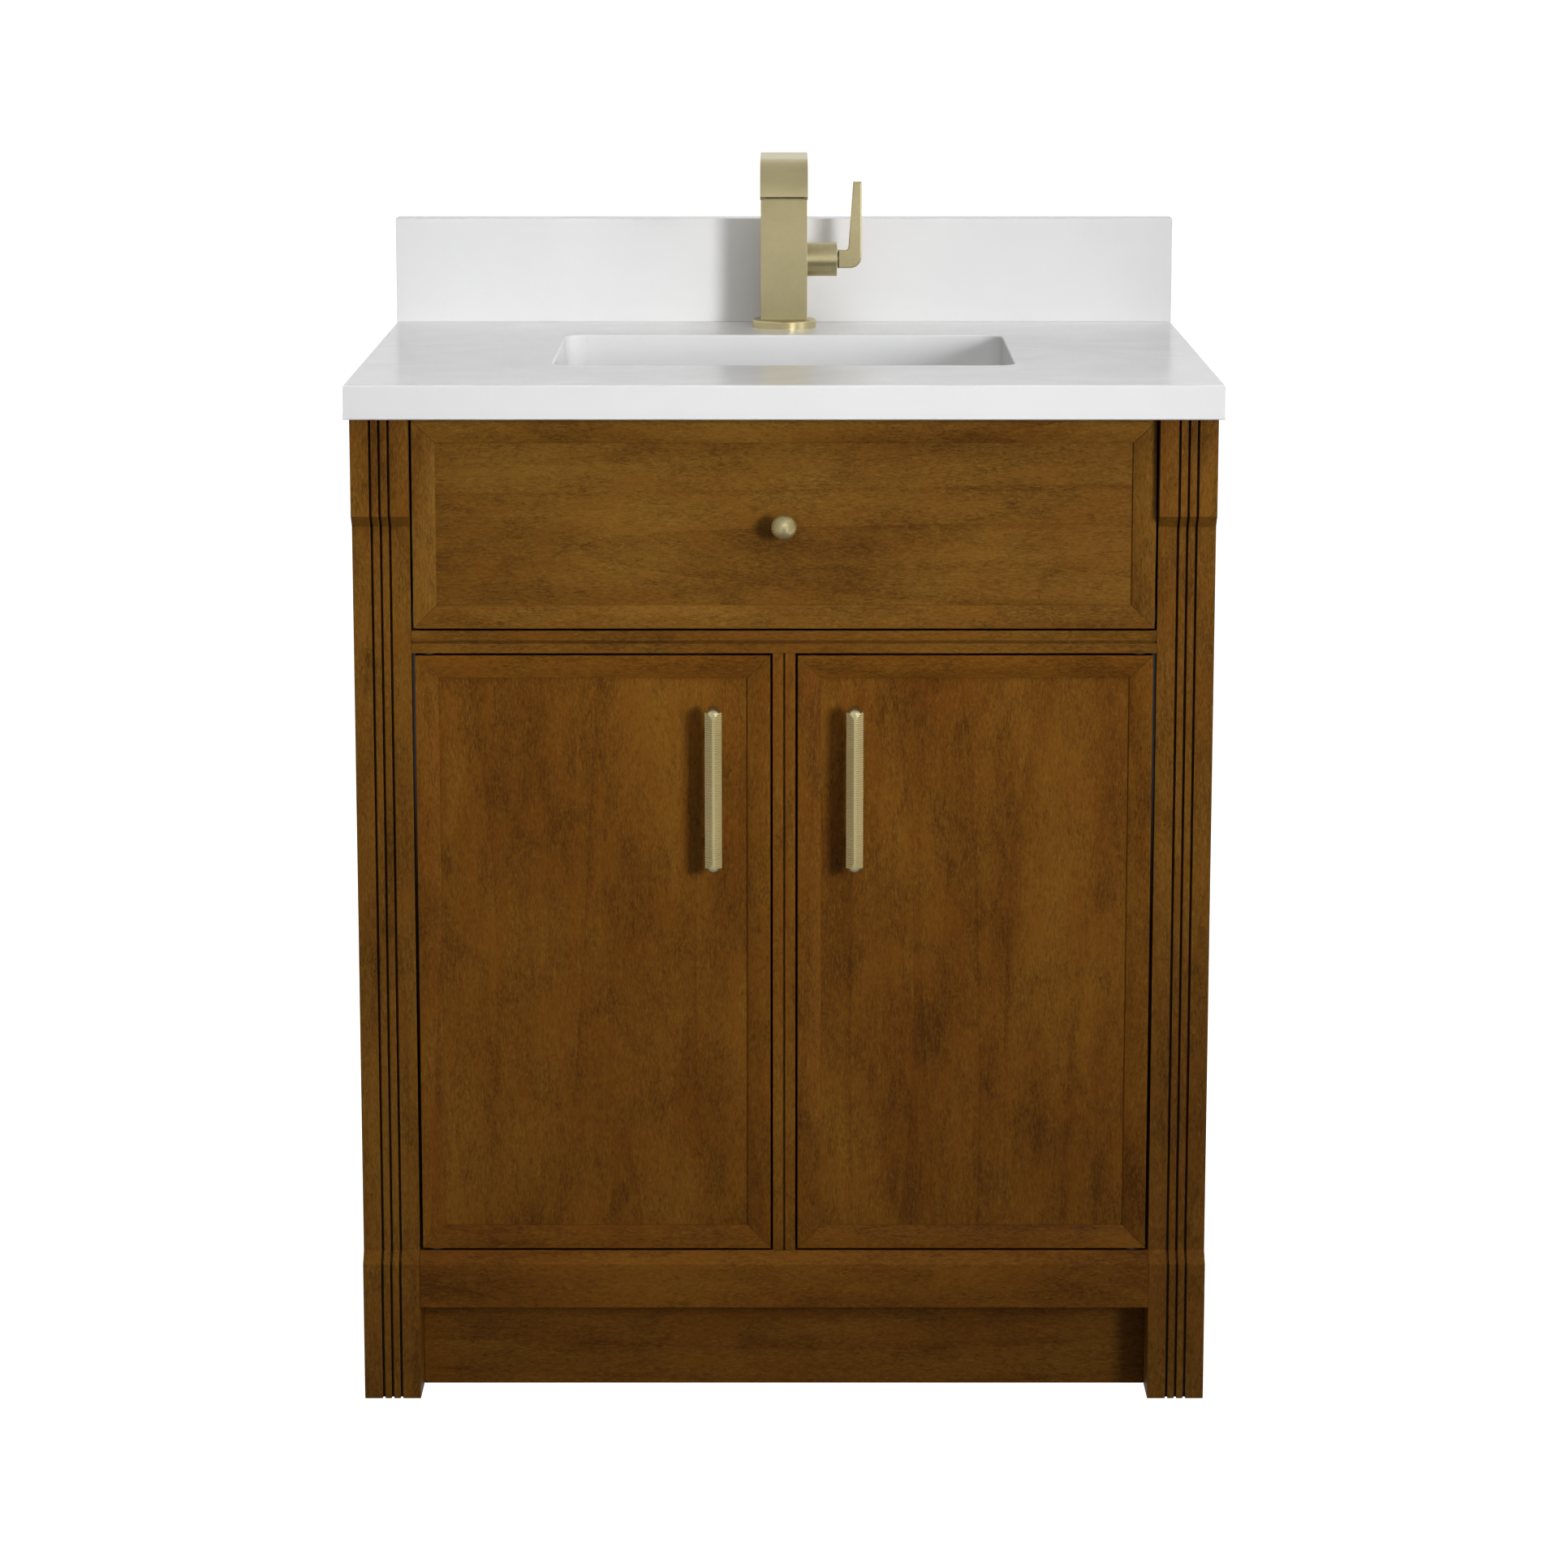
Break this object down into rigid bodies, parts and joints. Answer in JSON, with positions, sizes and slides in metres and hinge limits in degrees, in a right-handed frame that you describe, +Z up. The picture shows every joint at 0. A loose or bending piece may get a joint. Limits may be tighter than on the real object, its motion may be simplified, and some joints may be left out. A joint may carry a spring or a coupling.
{
  "type": "bathroom vanity cabinet",
  "caption": "Framed floor-standing vanity cabinet with inset doors, a drawer round the sink, stone top, undermount bowl and single-lever faucet.",
  "frame": {"origin": "on the floor, at the centre of the overall width and depth", "axes": "+Z up, +X to the right seen from the front, +Y towards the wall"},
  "size_m": [0.762, 0.601, 1.087],
  "materials": {
    "stained_wood": "warm brown stain under satin lacquer",
    "plain_wood": "clear-sealed pale wood",
    "quartz": "polished white quartz",
    "ceramic": "white glaze",
    "brushed_gold": "brushed pale gold",
    "zinc_steel": "zinc plated",
    "dark_plastic": "moulded",
    "rubber": "matt black"
  },
  "bodies": {
    "cabinet": {"back_panel": "plain_wood", "back_rails": "plain_wood", "backsplash": "quartz", "bottom_rail": "stained_wood", "cabinet_floor": "plain_wood", "centre_mullion": "stained_wood", "corner_blocks": "plain_wood", "countertop": "quartz", "door_catches": "dark_plastic", "drain_body": "brushed_gold", "drain_gasket": "rubber", "drain_nut": "brushed_gold", "drain_tailpiece": "brushed_gold", "faucet_body": "brushed_gold", "faucet_flange": "brushed_gold", "faucet_inlet_block": "dark_plastic", "faucet_nut": "zinc_steel", "faucet_outlet": "dark_plastic", "faucet_shank": "brushed_gold", "faucet_valve_housing": "brushed_gold", "front_post_left": "stained_wood", "front_post_right": "stained_wood", "mid_rail": "stained_wood", "pivot_bushes": "dark_plastic", "side_panel_left": "stained_wood", "side_panel_right": "stained_wood", "sink_bowl": "ceramic", "sink_clips": "zinc_steel", "slide_cleats": "plain_wood", "slide_outer_members": "zinc_steel", "toe_kick_board": "stained_wood", "top_front_stretcher": "plain_wood"},
    "left_door": {"door_left_stiles": "stained_wood", "door_left_rails": "stained_wood", "door_left_panel": "stained_wood", "door_left_pull": "brushed_gold", "door_left_pull_screws": "zinc_steel", "door_left_pivot_pins": "zinc_steel", "door_left_strike_plate": "zinc_steel"},
    "right_door": {"door_right_stiles": "stained_wood", "door_right_rails": "stained_wood", "door_right_panel": "stained_wood", "door_right_pull": "brushed_gold", "door_right_pull_screws": "zinc_steel", "door_right_pivot_pins": "zinc_steel", "door_right_strike_plate": "zinc_steel"},
    "drawer": {"drawer_front_stiles": "stained_wood", "drawer_front_rails": "stained_wood", "drawer_front_panel": "stained_wood", "drawer_knob": "brushed_gold", "knob_screw": "zinc_steel", "drawer_box_boards": "plain_wood", "drawer_box_bottom": "plain_wood", "slide_inner_members": "zinc_steel"},
    "left_slide_middle": {"slide_middle_left": "zinc_steel"},
    "right_slide_middle": {"slide_middle_right": "zinc_steel"},
    "lever_cartridge": {"lever_stem": "brushed_gold", "lever_pin": "zinc_steel"},
    "lever": {"faucet_lever": "brushed_gold"},
    "stopper": {"drain_stopper": "brushed_gold"}
  },
  "joints": [
    {"name": "left_door_hinge", "type": "hinge", "parent": "cabinet", "child": "left_door", "pos_m": [-0.3117, -0.2655, 0.407], "axis": [0, 0, -1], "range_deg": [0, 100]},
    {"name": "right_door_hinge", "type": "hinge", "parent": "cabinet", "child": "right_door", "pos_m": [0.3117, -0.2655, 0.407], "axis": [0, 0, 1], "range_deg": [0, 100]},
    {"name": "drawer_slide", "type": "slide", "parent": "cabinet", "child": "drawer", "axis": [0, -1, 0], "range_m": [0, 0.3]},
    {"name": "left_slide_extend", "type": "slide", "parent": "cabinet", "child": "left_slide_middle", "axis": [0, -1, 0], "range_m": [0, 0.15]},
    {"name": "right_slide_extend", "type": "slide", "parent": "cabinet", "child": "right_slide_middle", "axis": [0, -1, 0], "range_m": [0, 0.15]},
    {"name": "lever_turn", "type": "hinge", "parent": "cabinet", "child": "lever_cartridge", "pos_m": [0.04, 0.2205, 0.9827], "axis": [1, 0, 0], "range_deg": [-45, 45]},
    {"name": "lever_lift", "type": "hinge", "parent": "lever_cartridge", "child": "lever", "pos_m": [0.04, 0.2205, 0.9827], "axis": [0, 1, 0], "range_deg": [0, 18]},
    {"name": "stopper_lift", "type": "slide", "parent": "cabinet", "child": "stopper", "axis": [0, 0, 1], "range_m": [0, 0.008]}
  ],
  "couplings": [
    {"joint": "left_slide_extend", "follows": "drawer_slide", "ratio": 0.5},
    {"joint": "right_slide_extend", "follows": "drawer_slide", "ratio": 0.5}
  ]
}
